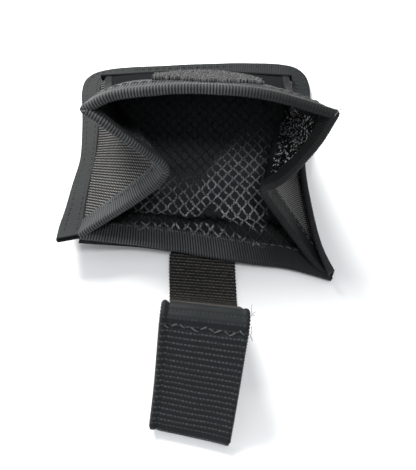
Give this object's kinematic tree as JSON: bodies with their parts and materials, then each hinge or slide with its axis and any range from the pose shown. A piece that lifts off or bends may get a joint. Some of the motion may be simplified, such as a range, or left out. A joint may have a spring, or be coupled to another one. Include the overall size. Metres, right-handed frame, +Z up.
{
  "type": "gusseted accessory pouch",
  "caption": "Small black nylon pouch with folded side gussets, bound seams, mesh lining, arched front panel and a webbing strap with a hook-and-loop tab.",
  "frame": {"origin": "under the middle of the back panel's mouth rim, on the surface that the pouch lies on", "axes": "+X to the right as seen from the mouth, +Y from the mouth to the closed end, +Z up from the back panel to the front panel"},
  "size_m": [0.108, 0.1719, 0.0683],
  "materials": {
    "nylon": "woven black nylon, satin",
    "grosgrain": "ribbed black grosgrain, soft sheen",
    "mesh": "open knitted mesh, matte",
    "foam": "dark closed foam, matte",
    "webbing": "ribbed black webbing, satin",
    "tape": "woven black tape with raised dots, matte",
    "hook": "black hook tape, satin",
    "loop": "black loop pile, matte",
    "thread": "black bonded thread, satin"
  },
  "bodies": {
    "back": {"back_panel": "nylon", "back_foam": "foam", "back_lining": "mesh", "back_rim_binding": "grosgrain", "back_rim_thread": "thread", "seam_allowance": "nylon", "seam_binding": "grosgrain", "seam_thread": "thread", "end_gusset": "nylon", "strap_anchor": "webbing"},
    "front": {"front_panel": "nylon", "front_foam": "foam", "front_lining": "mesh", "front_rim_binding": "grosgrain", "front_rim_thread": "thread", "front_seam_left": "grosgrain", "front_seam_right": "grosgrain", "loop_patch": "loop"},
    "gusset_lower_left": {"gusset_lower_left": "nylon", "gusset_lower_lining_left": "mesh", "gusset_lower_binding_left": "grosgrain"},
    "gusset_upper_left": {"gusset_upper_left": "nylon", "gusset_upper_lining_left": "mesh", "gusset_upper_binding_left": "grosgrain"},
    "gusset_lower_right": {"gusset_lower_right": "nylon", "gusset_lower_lining_right": "mesh", "gusset_lower_binding_right": "grosgrain"},
    "gusset_upper_right": {"gusset_upper_right": "nylon", "gusset_upper_lining_right": "mesh", "gusset_upper_binding_right": "grosgrain"},
    "strap": {"strap_webbing": "webbing"},
    "tab": {"tab_tape": "tape", "tab_hook": "hook", "tab_thread": "thread"}
  },
  "joints": [
    {"name": "mouth_open", "type": "hinge", "parent": "back", "child": "front", "pos_m": [0, 0.097, 0.0078], "axis": [1, 0, 0], "range_deg": [-4, 20]},
    {"name": "gusset_seam_left", "type": "hinge", "parent": "back", "child": "gusset_lower_left", "pos_m": [-0.046, 0.097, 0.0078], "axis": [0, -1, 0], "range_deg": [-28, 6]},
    {"name": "gusset_fold_left", "type": "hinge", "parent": "gusset_lower_left", "child": "gusset_upper_left", "pos_m": [-0.046, 0.097, 0.0078], "axis": [0.3301, -0.887, 0.3228], "range_deg": [-12, 54]},
    {"name": "gusset_seam_right", "type": "hinge", "parent": "back", "child": "gusset_lower_right", "pos_m": [0.046, 0.097, 0.0078], "axis": [0, 1, 0], "range_deg": [-28, 6]},
    {"name": "gusset_fold_right", "type": "hinge", "parent": "gusset_lower_right", "child": "gusset_upper_right", "pos_m": [0.046, 0.097, 0.0078], "axis": [0.3301, 0.887, -0.3228], "range_deg": [-12, 54]},
    {"name": "strap_lift", "type": "hinge", "parent": "back", "child": "strap", "pos_m": [0.002, -0.002, 0.00065], "axis": [1, 0, 0], "range_deg": [-55, 0]},
    {"name": "tab_bend", "type": "hinge", "parent": "strap", "child": "tab", "pos_m": [0.002, -0.03, 0.035], "axis": [1, 0, 0], "range_deg": [-105, 0]}
  ],
  "couplings": [
    {"joint": "gusset_seam_left", "follows": "mouth_open", "ratio": -1.34},
    {"joint": "gusset_fold_left", "follows": "mouth_open", "ratio": 2.64},
    {"joint": "gusset_seam_right", "follows": "mouth_open", "ratio": -1.34},
    {"joint": "gusset_fold_right", "follows": "mouth_open", "ratio": 2.64}
  ]
}
